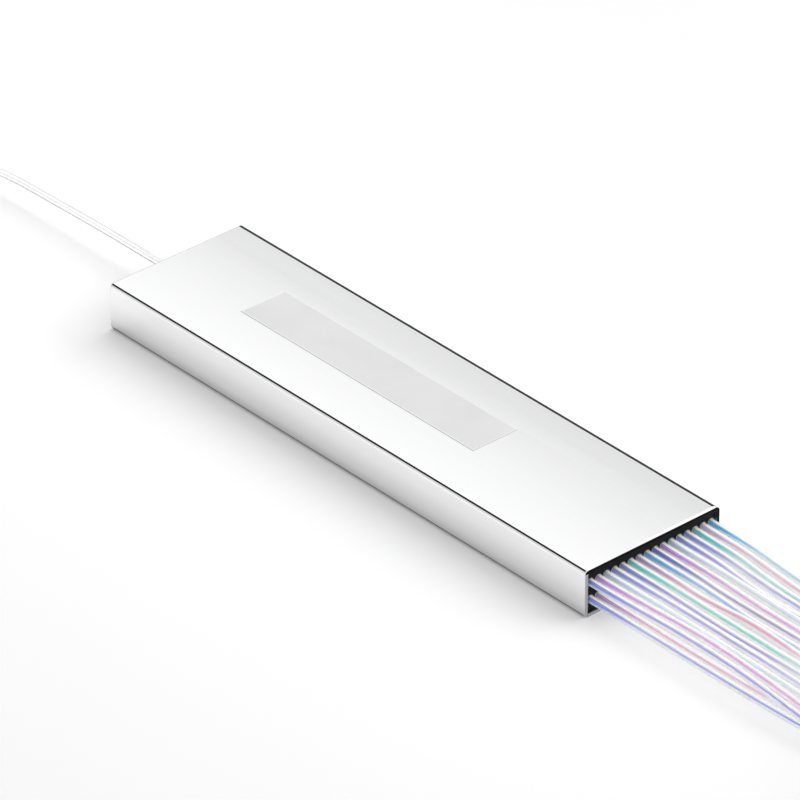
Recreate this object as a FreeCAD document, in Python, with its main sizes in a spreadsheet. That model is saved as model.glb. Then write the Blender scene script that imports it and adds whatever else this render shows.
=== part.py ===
"""A 1 x 32 PLC fibre splitter module: a flat metal tube that holds a planar lightwave circuit chip
between two fibre arrays, with one loose-tube fibre in at -X and two rows of sixteen out at +X.

Millimetres. +X runs along the housing towards the outputs, +Z is up, and the origin is at the
middle of the housing's underside.
"""
import FreeCAD
import Part
import Sketcher
import math
import os

V = FreeCAD.Vector

SIZES = [
    # housing, a drawn rectangular tube
    ("housing_length", 80.0),
    ("housing_width", 20.0),
    ("housing_height", 6.0),
    ("wall", 0.4),
    ("corner_radius", 0.5),
    ("end_recess", 0.3),
    # label film on the top face
    ("label_length", 39.4),
    ("label_width", 6.6),
    ("label_thickness", 0.06),
    ("label_x", -6.0),
    ("label_y", 0.6),
    # end blocks
    ("block_clearance", 0.05),
    ("output_block_length", 6.0),
    ("input_block_length", 5.0),
    ("hole_clearance", 0.04),
    # loose tubes
    ("tube_diameter", 0.9),
    ("columns", 16),
    ("column_pitch", 1.2),
    ("row_gap", 2.2),
    ("lower_row_height", 2.0),
    ("input_height", 3.4),
    ("cord_length", 1000.0),
    # optical device: arrays, chip and lids, on a silicone bed
    ("device_x", -2.0),
    ("device_width", 6.0),
    ("device_height", 1.6),
    ("bed_thickness", 0.6),
    ("bed_overhang", 1.0),
    ("chip_length", 20.0),
    ("array_length", 10.0),
    ("lid_length", 5.0),
    ("lid_height", 1.0),
    ("tail_step", 0.5),
    ("groove_pitch", 0.127),
    ("groove_width", 0.12),
    ("groove_depth", 0.1),
    ("fibre_diameter", 0.24),
    ("fibre_pitch", 0.25),
    ("ribbon_gap", 0.26),
    # wound lengths and their ties
    ("winding_gap", 0.05),
    ("hank_turns", 6),
    ("hank_radius", 19.0),
    ("hank_x", 101.5),
    ("hank_y", 9.1),
    ("entry_clearance", 0.15),
    ("coil_radius", 11.0),
    ("coil_x", -93.0),
    ("coil_y", 1.0),
    ("coil_layers", 4),
    ("coil_turns_per_layer", 4.25),
    ("tie_thickness", 0.5),
    ("tie_width", 5.0),
    ("coil_tie_width", 3.0),
    ("tie_clearance", 0.05),
]

# The output tubes first run straight out of their block, to this far along the part, and they stand
# on edge, ready for the hank, from this far.
STRAIGHT_END = 50.0
ON_EDGE = 91.0

# The input tube lies in line with its coil's first turn from this far.
INPUT_IN_LINE = -85.8

# Stations of the output tubes, chosen by hand. At each one the sixteen columns stand on a line that
# starts at the near column, (x, near_y, near_z), and leans up from the horizontal by the lean angle.
# The flat ribbon of tubes swings up until it stands on edge at the hank.
#    x      near_y  near_z  lean   pitch  gap   stagger
STATIONS = [
    (67.0, -9.00, 3.00, 2.0, 1.130, 1.95, 0.10),
    (79.0, -9.12, 2.60, 47.0, 1.090, 1.72, 0.12),
]

# How far each column stands from its even place at the first station, near column first.
SWAY = [0.0, 0.07, -0.05, 0.04, 0.09, -0.04, 0.03, -0.06, 0.05, 0.08, -0.05, 0.02, 0.07, -0.03, -0.06, 0.04]

# The input tube's route after it leaves the housing, up to the coil.
INPUT_ROUTE = [
    V(-43.8, 0.0, 3.4),
    V(-53.0, 0.12, 3.3),
    V(-62.2, 0.1, 2.95),
    V(-71.3, -0.3, 2.55),
    V(-78.6, -4.9, 1.8),
]

doc = FreeCAD.newDocument("plc_fibre_splitter")
sheet = doc.addObject("Spreadsheet::Sheet", "Sizes")
for line, (alias, number) in enumerate(SIZES, start=1):
    sheet.set("A%d" % line, alias)
    sheet.set("B%d" % line, str(number))
    sheet.setAlias("B%d" % line, alias)
doc.recompute()

nodes = []


def size(name):
    """A number from the sheet."""
    return float(getattr(sheet, name))


# ---------------------------------------------------------------- PartDesign helpers

def new_body(label):
    body = doc.addObject("PartDesign::Body", label)
    body.Label = label
    nodes.append(body)
    return body


def section_sketch(body, name, x, y, z):
    """A sketch across the length, looking along +X, with its own origin at (x, y, z)."""
    plane = next(item for item in body.Origin.OriginFeatures if item.Role == "YZ_Plane")
    sketch = body.newObject("Sketcher::SketchObject", name)
    sketch.AttachmentSupport = (plane, [""])
    sketch.MapMode = "FlatFace"
    sketch.setExpression("AttachmentOffset.Base.x", y)
    sketch.setExpression("AttachmentOffset.Base.y", z)
    sketch.setExpression("AttachmentOffset.Base.z", x)
    return sketch


def drive(sketch, constraint, expression):
    """Add a dimension whose value follows the sheet."""
    index = sketch.addConstraint(constraint)
    sketch.setExpression("Constraints[%d]" % index, expression)


def draw_rectangle(sketch, width, height):
    """A rectangle centred on the sketch's origin."""
    half_w = float(sheet.evalExpression(width)) / 2
    half_h = float(sheet.evalExpression(height)) / 2
    corners = [V(-half_w, -half_h, 0), V(half_w, -half_h, 0), V(half_w, half_h, 0), V(-half_w, half_h, 0)]
    for index in range(4):
        sketch.addGeometry(Part.LineSegment(corners[index], corners[(index + 1) % 4]))
    for index in range(4):
        sketch.addConstraint(Sketcher.Constraint("Coincident", index, 2, (index + 1) % 4, 1))
    for index in (0, 2):
        sketch.addConstraint(Sketcher.Constraint("Horizontal", index))
        sketch.addConstraint(Sketcher.Constraint("Vertical", index + 1))
    sketch.addConstraint(Sketcher.Constraint("Symmetric", 0, 1, 2, 1, -1, 1))
    drive(sketch, Sketcher.Constraint("DistanceX", 0, 1, 0, 2, 2 * half_w), width)
    drive(sketch, Sketcher.Constraint("DistanceY", 1, 1, 1, 2, 2 * half_h), height)


def draw_circle(sketch, across, up, diameter):
    """A circle whose centre lies at (across, up) from the sketch's origin."""
    centre_x = float(sheet.evalExpression(across))
    centre_y = float(sheet.evalExpression(up))
    radius = float(sheet.evalExpression(diameter)) / 2
    index = sketch.addGeometry(Part.Circle(V(centre_x, centre_y, 0), V(0, 0, 1), radius))
    drive(sketch, Sketcher.Constraint("DistanceX", -1, 1, index, 3, centre_x), across)
    drive(sketch, Sketcher.Constraint("DistanceY", -1, 1, index, 3, centre_y), up)
    drive(sketch, Sketcher.Constraint("Diameter", index, 2 * radius), diameter)


def draw_vee(sketch, width, depth):
    """A V that opens upwards, with its mouth's middle at the sketch's origin."""
    half_w = float(sheet.evalExpression(width)) / 2
    down = float(sheet.evalExpression(depth))
    corners = [V(-half_w, 0, 0), V(0, -down, 0), V(half_w, 0, 0)]
    for index in range(3):
        sketch.addGeometry(Part.LineSegment(corners[index], corners[(index + 1) % 3]))
    for index in range(3):
        sketch.addConstraint(Sketcher.Constraint("Coincident", index, 2, (index + 1) % 3, 1))
    sketch.addConstraint(Sketcher.Constraint("Symmetric", 0, 1, 1, 2, -1, 1))
    sketch.addConstraint(Sketcher.Constraint("Horizontal", 2))
    sketch.addConstraint(Sketcher.Constraint("PointOnObject", 0, 2, -2))
    drive(sketch, Sketcher.Constraint("DistanceX", 0, 1, 1, 2, 2 * half_w), width)
    drive(sketch, Sketcher.Constraint("DistanceY", 0, 2, -1, 1, down), depth)


def pad(body, sketch, length):
    feature = body.newObject("PartDesign::Pad", sketch.Name + "_pad")
    feature.Profile = sketch
    feature.setExpression("Length", length)
    doc.recompute()
    return feature


def pocket(body, sketch, length):
    """Cut from the sketch towards +X, and make sure that something was cut."""
    before = body.Shape.Volume
    feature = body.newObject("PartDesign::Pocket", sketch.Name + "_pocket")
    feature.Profile = sketch
    feature.Reversed = True
    feature.setExpression("Length", length)
    doc.recompute()
    if body.Shape.Volume > before * (1 - 1e-6):
        raise RuntimeError("the pocket %s cuts nothing" % feature.Name)
    return feature


def repeat_across(body, feature, sketch, pitch, count):
    """Repeat a pocket along +Y."""
    pattern = body.newObject("PartDesign::LinearPattern", feature.Name + "_row")
    pattern.Originals = [feature]
    pattern.Direction = (sketch, ["H_Axis"])
    pattern.setExpression("Length", "(%s - 1) * %s" % (count, pitch))
    pattern.setExpression("Occurrences", count)
    body.Tip = pattern
    doc.recompute()


def block(label, x, length, y, width, z, height):
    """A rectangular block from x, centred on y, standing on z."""
    body = new_body(label)
    sketch = section_sketch(body, label + "_section", x, y, "%s + (%s) / 2" % (z, height))
    draw_rectangle(sketch, width, height)
    pad(body, sketch, length)
    return body


# ---------------------------------------------------------------- housing, label and end blocks

INNER_WIDTH = "(Sizes.housing_width - 2 * Sizes.wall)"
INNER_HEIGHT = "(Sizes.housing_height - 2 * Sizes.wall)"
BLOCK_WIDTH = "(%s - 2 * Sizes.block_clearance)" % INNER_WIDTH
BLOCK_HEIGHT = "(%s - 2 * Sizes.block_clearance)" % INNER_HEIGHT
BLOCK_BOTTOM = "(Sizes.wall + Sizes.block_clearance)"
HOLE_DIAMETER = "(Sizes.tube_diameter + Sizes.hole_clearance)"
OUTPUT_BLOCK_X = "(Sizes.housing_length / 2 - Sizes.end_recess - Sizes.output_block_length)"
INPUT_BLOCK_X = "(-Sizes.housing_length / 2 + Sizes.end_recess)"


def make_housing():
    """The drawn tube: rounded outside along its length, square inside, open at both ends."""
    body = block("housing", "-Sizes.housing_length / 2", "Sizes.housing_length",
                 "0", "Sizes.housing_width", "0", "Sizes.housing_height")
    solid = body.Tip
    long_edges = []
    for index, edge in enumerate(body.Shape.Edges, start=1):
        if abs(edge.tangentAt(edge.FirstParameter).x) > 0.99:
            long_edges.append("Edge%d" % index)
    rounding = body.newObject("PartDesign::Fillet", "housing_corners")
    rounding.Base = (solid, long_edges)
    rounding.setExpression("Radius", "Sizes.corner_radius")
    doc.recompute()
    inside = section_sketch(body, "housing_inside", "-Sizes.housing_length / 2", "0", "Sizes.housing_height / 2")
    draw_rectangle(inside, INNER_WIDTH, INNER_HEIGHT)
    pocket(body, inside, "Sizes.housing_length")


def make_label():
    block("label_film", "Sizes.label_x - Sizes.label_length / 2", "Sizes.label_length",
          "Sizes.label_y", "Sizes.label_width", "Sizes.housing_height", "Sizes.label_thickness")


def make_output_block():
    """The black block that closes the output end, bored for two rows of tubes."""
    body = block("output_end_block", OUTPUT_BLOCK_X, "Sizes.output_block_length",
                 "0", BLOCK_WIDTH, BLOCK_BOTTOM, BLOCK_HEIGHT)
    holes = section_sketch(body, "output_holes", OUTPUT_BLOCK_X,
                           "-(Sizes.columns - 1) * Sizes.column_pitch / 2", "Sizes.lower_row_height")
    draw_circle(holes, "0", "0", HOLE_DIAMETER)
    draw_circle(holes, "0", "Sizes.row_gap", HOLE_DIAMETER)
    bores = pocket(body, holes, "Sizes.output_block_length")
    repeat_across(body, bores, holes, "Sizes.column_pitch", "Sizes.columns")


def make_input_block():
    body = block("input_end_block", INPUT_BLOCK_X, "Sizes.input_block_length",
                 "0", BLOCK_WIDTH, BLOCK_BOTTOM, BLOCK_HEIGHT)
    hole = section_sketch(body, "input_hole", INPUT_BLOCK_X, "0", "Sizes.input_height")
    draw_circle(hole, "0", "0", HOLE_DIAMETER)
    pocket(body, hole, "Sizes.input_block_length")


# ---------------------------------------------------------------- optical device inside

DEVICE_BOTTOM = "(Sizes.wall + Sizes.bed_thickness)"
DEVICE_TOP = "(%s + Sizes.device_height)" % DEVICE_BOTTOM
CHIP_X = "(Sizes.device_x - Sizes.chip_length / 2)"
CHIP_END = "(Sizes.device_x + Sizes.chip_length / 2)"
INPUT_ARRAY_X = "(%s - Sizes.array_length)" % CHIP_X
INPUT_TAIL_LENGTH = "(Sizes.array_length - Sizes.lid_length)"
OUTPUT_TAIL_X = "(%s + Sizes.lid_length)" % CHIP_END


def device_block(label, x, length, z, height):
    return block(label, x, length, "0", "Sizes.device_width", z, height)


def cut_tail(body, x):
    """Lower the end of an array block where the coated fibres lie."""
    tail = section_sketch(body, body.Name + "_tail", x, "0", "%s - Sizes.tail_step / 2" % DEVICE_TOP)
    draw_rectangle(tail, "Sizes.device_width", "Sizes.tail_step")
    pocket(body, tail, INPUT_TAIL_LENGTH)


def make_device():
    """The chip between its two V-groove arrays, each glued face to face, with glass lids on top."""
    block("device_bed", "%s - Sizes.bed_overhang" % INPUT_ARRAY_X,
          "Sizes.chip_length + 2 * Sizes.array_length + 2 * Sizes.bed_overhang",
          "0", "Sizes.device_width", "Sizes.wall", "Sizes.bed_thickness")

    input_array = device_block("input_array_block", INPUT_ARRAY_X, "Sizes.array_length",
                               DEVICE_BOTTOM, "Sizes.device_height")
    cut_tail(input_array, INPUT_ARRAY_X)
    groove = section_sketch(input_array, "input_groove", "%s - Sizes.lid_length" % CHIP_X, "0", DEVICE_TOP)
    draw_vee(groove, "Sizes.groove_width", "Sizes.groove_depth")
    pocket(input_array, groove, "Sizes.lid_length")

    device_block("plc_chip", CHIP_X, "Sizes.chip_length", DEVICE_BOTTOM, "Sizes.device_height")

    output_array = device_block("output_array_block", CHIP_END, "Sizes.array_length",
                                DEVICE_BOTTOM, "Sizes.device_height")
    cut_tail(output_array, OUTPUT_TAIL_X)
    groove = section_sketch(output_array, "output_groove", CHIP_END,
                            "-(2 * Sizes.columns - 1) * Sizes.groove_pitch / 2", DEVICE_TOP)
    draw_vee(groove, "Sizes.groove_width", "Sizes.groove_depth")
    grooves = pocket(output_array, groove, "Sizes.lid_length")
    repeat_across(output_array, grooves, groove, "Sizes.groove_pitch", "2 * Sizes.columns")

    lids = [("input_array_lid", "%s - Sizes.lid_length" % CHIP_X), ("chip_lid_input", CHIP_X),
            ("chip_lid_output", "%s - Sizes.lid_length" % CHIP_END), ("output_array_lid", CHIP_END)]
    for label, x in lids:
        device_block(label, x, "Sizes.lid_length", DEVICE_TOP, "Sizes.lid_height")


# ---------------------------------------------------------------- shapes made by code

def add_feature(label, shape, place=V(0, 0, 0)):
    """A document object for a shape that neither a body nor a primitive fits."""
    feature = doc.addObject("Part::Feature", label)
    feature.Label = label
    feature.Shape = shape
    feature.Placement = FreeCAD.Placement(place, FreeCAD.Rotation())
    nodes.append(feature)


def straight_fibre(start, end):
    """A fibre between two faces across X, square cut, so that its slant keeps it just off both."""
    radius = size("fibre_diameter") / 2
    line = end - start
    slant = line.getAngle(V(line.x, 0, 0))
    gap = (line / line.Length) * (radius * math.sin(slant))
    return Part.makeCylinder(radius, line.Length - 2 * gap.Length, start + gap, line)


def column_y(column):
    return (column - (size("columns") - 1) / 2) * size("column_pitch")


def row_z(row):
    return size("lower_row_height") + row * size("row_gap")


def output_block_back():
    return size("housing_length") / 2 - size("end_recess") - size("output_block_length")


def input_block_back():
    return -size("housing_length") / 2 + size("end_recess") + size("input_block_length")


def device_top():
    return size("wall") + size("bed_thickness") + size("device_height")


def make_fibres():
    """Coated fibres from the array tails to the tubes' ends, eight to a ribbon, and the one input."""
    radius = size("fibre_diameter") / 2
    start_x = size("device_x") + size("chip_length") / 2 + size("lid_length")
    end_x = output_block_back()
    columns = int(size("columns"))
    per_ribbon = columns // 2
    for row in (0, 1):
        for half in (0, 1):
            fibres = []
            for place in range(per_ribbon):
                column = half * per_ribbon + place
                start_y = (column - (columns - 1) / 2) * size("fibre_pitch")
                start_z = device_top() - radius + (row - 0.5) * size("ribbon_gap")
                start = V(start_x, start_y, start_z)
                end = V(end_x, column_y(column), row_z(row))
                fibres.append(straight_fibre(start, end))
            add_feature("fibre_ribbon_%d" % (2 * row + half + 1), Part.makeCompound(fibres))
    start = V(size("device_x") - size("chip_length") / 2 - size("lid_length"), 0, device_top())
    end = V(input_block_back(), 0, size("input_height"))
    add_feature("input_fibre", straight_fibre(start, end))


# ---------------------------------------------------------------- free tubes

def rounded_path(points):
    """Straight runs joined by tangent arcs: the wire and its arcs' radii."""
    edges = []
    radii = []
    start = points[0]
    for before, corner, after in zip(points, points[1:], points[2:]):
        inward = (corner - before).normalize()
        outward = (after - corner).normalize()
        turn = inward.getAngle(outward)
        cut = 0.45 * min(before.distanceToPoint(corner), corner.distanceToPoint(after))
        radius = cut / math.tan(turn / 2)
        radii.append(radius)
        arc_start = corner - inward * cut
        arc_end = corner + outward * cut
        chord_middle = (arc_start + arc_end) / 2
        rise = radius * (1 - math.cos(turn / 2))
        arc_middle = chord_middle + (corner - chord_middle).normalize() * rise
        edges.append(Part.LineSegment(start, arc_start).toShape())
        edges.append(Part.Arc(arc_start, arc_middle, arc_end).toShape())
        start = arc_end
    edges.append(Part.LineSegment(start, points[-1]).toShape())
    return Part.Wire(edges), radii


def add_tube(label, points):
    """A solid round cord along the path, its volume set against section times length."""
    path, radii = rounded_path(points)
    radius = size("tube_diameter") / 2
    section = Part.Wire([Part.makeCircle(radius, points[0], points[1] - points[0])])
    tube = path.makePipeShell([section], True, False)
    expected = math.pi * radius ** 2 * path.Length
    if abs(tube.Volume / expected - 1) > 0.001:
        raise RuntimeError("%s has volume %.2f, not %.2f" % (label, tube.Volume, expected))
    print("%s: %.1f mm long, arc radii %s mm" % (label, path.Length, ", ".join("%.0f" % r for r in radii)))
    add_feature(label, tube)
    return path.Length


def wound_pitch():
    """From one tube to the next above it in the hank."""
    return size("tube_diameter") + size("winding_gap")


def layer_pitch():
    """From one tube to the next beside it, nested into the half step between its neighbours."""
    return wound_pitch() * 0.885


def hank_line_radius():
    """The first turn's radius, midway between its two layers of tubes."""
    return size("hank_radius") - size("tube_diameter") / 2 - layer_pitch() / 2


def hank_entry(x):
    """The station of tubes that stand on edge as they do in the hank's first turn."""
    lowest = size("tie_thickness") + size("tube_diameter") / 2 + wound_pitch() / 4
    return (x, size("hank_y") - hank_line_radius(), lowest, 90.0, wound_pitch(), layer_pitch(), 0.5)


def station_point(station, column, row, sway):
    """Where one tube of the ribbon crosses a station."""
    x, near_y, near_z, lean, pitch, gap, stagger = station
    angle = math.radians(lean)
    along = pitch * (column + stagger * (row - 0.5)) + sway
    off = gap * (row - 0.5)
    return V(x, near_y + along * math.cos(angle) - off * math.sin(angle),
             near_z + along * math.sin(angle) + off * math.cos(angle))


def output_route(column, row):
    points = [V(x, column_y(column), row_z(row)) for x in (output_block_back(), STRAIGHT_END)]
    for station, share in zip(STATIONS, (1.0, 0.0)):
        points.append(station_point(station, column, row, share * SWAY[column % len(SWAY)]))
    for x in (ON_EDGE, size("hank_x")):
        points.append(station_point(hank_entry(x), column, row, 0.0))
    return points


def make_output_tubes():
    """Thirty-two tubes, numbered along the lower row from the near side, then along the upper row."""
    lengths = []
    columns = int(size("columns"))
    for row in (0, 1):
        for column in range(columns):
            number = row * columns + column + 1
            lengths.append(add_tube("output_tube_%02d" % number, output_route(column, row)))
    return sum(lengths) / len(lengths)


def make_input_tube():
    start = V(input_block_back(), 0, size("input_height"))
    line_radius = size("coil_radius") - size("tube_diameter") / 2
    entry_y = size("coil_y") - line_radius
    entry_z = size("tie_thickness") + size("tube_diameter") / 2
    last = [V(x, entry_y, entry_z) for x in (INPUT_IN_LINE, size("coil_x"))]
    add_tube("input_tube", [start] + INPUT_ROUTE + last)


def spiral_ring(radius, step, first, last, centre_y):
    """A closed outline of half circles and straights that comes back one step further in.
    It starts below the first centre, and the left half circle is drawn half a step smaller."""
    low = centre_y - radius
    high = centre_y + radius
    shut = low + step
    left = radius - step / 2
    left_y = centre_y + step / 2
    edges = [
        Part.LineSegment(V(first, low, 0), V(last, low, 0)),
        Part.Arc(V(last, low, 0), V(last + radius, centre_y, 0), V(last, high, 0)),
        Part.LineSegment(V(last, high, 0), V(first, high, 0)),
        Part.Arc(V(first, high, 0), V(first - left, left_y, 0), V(first, shut, 0)),
        Part.LineSegment(V(first, shut, 0), V(first, low, 0)),
    ]
    return Part.Wire([edge.toShape() for edge in edges])


def hank_straight(uncoiled):
    """Length of the hank's straight sides, so that each tube has its full length."""
    turns = int(size("hank_turns"))
    step = 2 * layer_pitch()
    bends = 0.0
    for turn in range(turns):
        bends += math.pi * (2 * (hank_line_radius() - turn * step) - step / 2)
    wound = size("cord_length") - uncoiled + size("output_block_length")
    return (wound - bends) / (2 * turns)


def hank_height():
    return (size("columns") - 1) * wound_pitch() + wound_pitch() / 2 + size("tube_diameter")


def hank_hole_radius():
    step = 2 * layer_pitch()
    inner_turn = hank_line_radius() - (int(size("hank_turns")) - 1) * step
    return inner_turn - layer_pitch() / 2 - size("tube_diameter") / 2


def band(span_x, span_y, height, across):
    """A strap round a rectangle that stands centred on the origin and is lifted by the strap's
    thickness. The strap is as wide as the span along the axis that it doesn't close round."""
    thickness = size("tie_thickness")
    grow_x = 0 if across.x else thickness
    grow_y = 0 if across.y else thickness
    outer = Part.makeBox(span_x + 2 * grow_x, span_y + 2 * grow_y, height + 2 * thickness,
                         V(-span_x / 2 - grow_x, -span_y / 2 - grow_y, 0))
    inner = Part.makeBox(span_x, span_y, height, V(-span_x / 2, -span_y / 2, thickness))
    corners = [edge for edge in outer.Edges
               if abs(edge.tangentAt(edge.FirstParameter).dot(across)) > 0.99]
    return outer.makeFillet(thickness, corners).cut(inner)


def make_output_hank(uncoiled):
    """The put-away length of the output tubes, folded into a flat hank and tied twice."""
    first = size("hank_x")
    last = first + hank_straight(uncoiled)
    centre_y = size("hank_y")
    step = 2 * layer_pitch()
    entry = layer_pitch() + size("tube_diameter") + size("entry_clearance")
    outside = Part.Face(spiral_ring(size("hank_radius"), entry, first, last, centre_y))
    inside = Part.Face(spiral_ring(hank_hole_radius(), step, first, last, centre_y))
    hank = outside.cut(inside).extrude(V(0, 0, hank_height()))
    add_feature("output_coil", hank.Solids[0], V(0, 0, size("tie_thickness")))

    leg_width = size("hank_radius") - hank_hole_radius()
    leg_middle = (size("hank_radius") + hank_hole_radius()) / 2
    clearance = size("tie_clearance")
    for number, side in ((1, -1), (2, 1)):
        strap = band(size("tie_width"), leg_width + 2 * clearance, hank_height(), V(1, 0, 0))
        add_feature("output_tie_%d" % number, strap, V((first + last) / 2, centre_y + side * leg_middle, 0))


def make_input_coil():
    """The put-away length of the input tube: flat spirals on each other, and one tie."""
    outer = size("coil_radius")
    diameter = size("tube_diameter")
    inner = outer - diameter - size("coil_turns_per_layer") * wound_pitch()
    height = (size("coil_layers") - 1) * wound_pitch() + diameter
    bottom = size("tie_thickness")
    centre = V(size("coil_x"), size("coil_y"), bottom)
    ring = Part.makeCylinder(outer, height, centre).cut(Part.makeCylinder(inner, height, centre))
    entry = diameter + size("entry_clearance")
    notch = Part.makeBox(outer, entry, entry, V(centre.x, centre.y - outer, bottom))
    add_feature("input_coil", ring.cut(notch).Solids[0])

    half_tie = size("coil_tie_width") / 2
    clearance = size("tie_clearance")
    far_side = outer + clearance
    near_side = math.sqrt(inner ** 2 - half_tie ** 2) - clearance
    strap = band(far_side - near_side, 2 * half_tie, height, V(0, 1, 0))
    add_feature("input_tie", strap, V(centre.x - (far_side + near_side) / 2, centre.y, 0))


# ---------------------------------------------------------------- build, check and write

def check_document():
    doc.recompute()
    for item in doc.Objects:
        if "Invalid" in item.State or "Error" in item.State:
            raise RuntimeError("%s failed: %s" % (item.Label, item.State))
    for node in nodes:
        shape = node.Shape
        if shape.isNull() or not shape.isValid():
            raise RuntimeError("%s has no valid shape" % node.Label)


def write_steps():
    os.makedirs("parts", exist_ok=True)
    for node in nodes:
        node.Shape.exportStep("parts/%s.step" % node.Label)


make_housing()
make_label()
make_output_block()
make_input_block()
make_device()
make_fibres()
make_input_tube()
make_output_hank(make_output_tubes())
make_input_coil()
check_document()
write_steps()
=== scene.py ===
import math
import random

import bmesh
import bpy
from mathutils import Matrix, Vector


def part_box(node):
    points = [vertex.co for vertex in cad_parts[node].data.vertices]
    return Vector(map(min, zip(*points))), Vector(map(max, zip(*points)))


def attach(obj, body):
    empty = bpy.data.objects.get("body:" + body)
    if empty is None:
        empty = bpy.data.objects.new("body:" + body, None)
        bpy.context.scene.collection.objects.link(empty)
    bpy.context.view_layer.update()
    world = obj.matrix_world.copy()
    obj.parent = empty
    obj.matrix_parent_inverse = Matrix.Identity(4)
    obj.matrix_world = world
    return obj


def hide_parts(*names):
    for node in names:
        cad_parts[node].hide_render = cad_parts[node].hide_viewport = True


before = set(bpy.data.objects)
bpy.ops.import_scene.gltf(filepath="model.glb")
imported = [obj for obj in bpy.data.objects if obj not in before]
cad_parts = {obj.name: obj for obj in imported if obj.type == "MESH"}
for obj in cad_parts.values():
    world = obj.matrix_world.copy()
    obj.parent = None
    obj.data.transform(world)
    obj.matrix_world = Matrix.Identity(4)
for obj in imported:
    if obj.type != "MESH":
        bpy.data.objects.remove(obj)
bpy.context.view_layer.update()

MM = 0.001
rng = random.Random(32)

# ---------------------------------------------------------------- camera

CAMERA_AZIMUTH = math.radians(48.32)
CAMERA_ELEVATION = math.radians(32.22)
CAMERA_ROLL = math.radians(0.072)
CAMERA_DISTANCE = 0.9938
CAMERA_TARGET = Vector((-3.110, 1.427, 3.0)) * MM
CAMERA_LENS = 397.99
SENSOR_WIDTH = 36.0
CLIP_START = 0.05
CLIP_END = 20.0


def make_camera():
    data = bpy.data.cameras.new("camera")
    data.sensor_width = SENSOR_WIDTH
    data.lens = CAMERA_LENS
    data.clip_start = CLIP_START
    data.clip_end = CLIP_END
    camera = bpy.data.objects.new("camera", data)
    bpy.context.collection.objects.link(camera)
    flat = math.cos(CAMERA_ELEVATION)
    back = Vector((math.sin(CAMERA_AZIMUTH) * flat, -math.cos(CAMERA_AZIMUTH) * flat,
                   math.sin(CAMERA_ELEVATION)))
    turn = back.to_track_quat("Z", "Y").to_matrix() @ Matrix.Rotation(CAMERA_ROLL, 3, "Z")
    camera.rotation_mode = "QUATERNION"
    camera.rotation_quaternion = turn.to_quaternion()
    camera.location = CAMERA_TARGET + back * CAMERA_DISTANCE
    bpy.context.scene.camera = camera


# ---------------------------------------------------------------- node helpers

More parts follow.
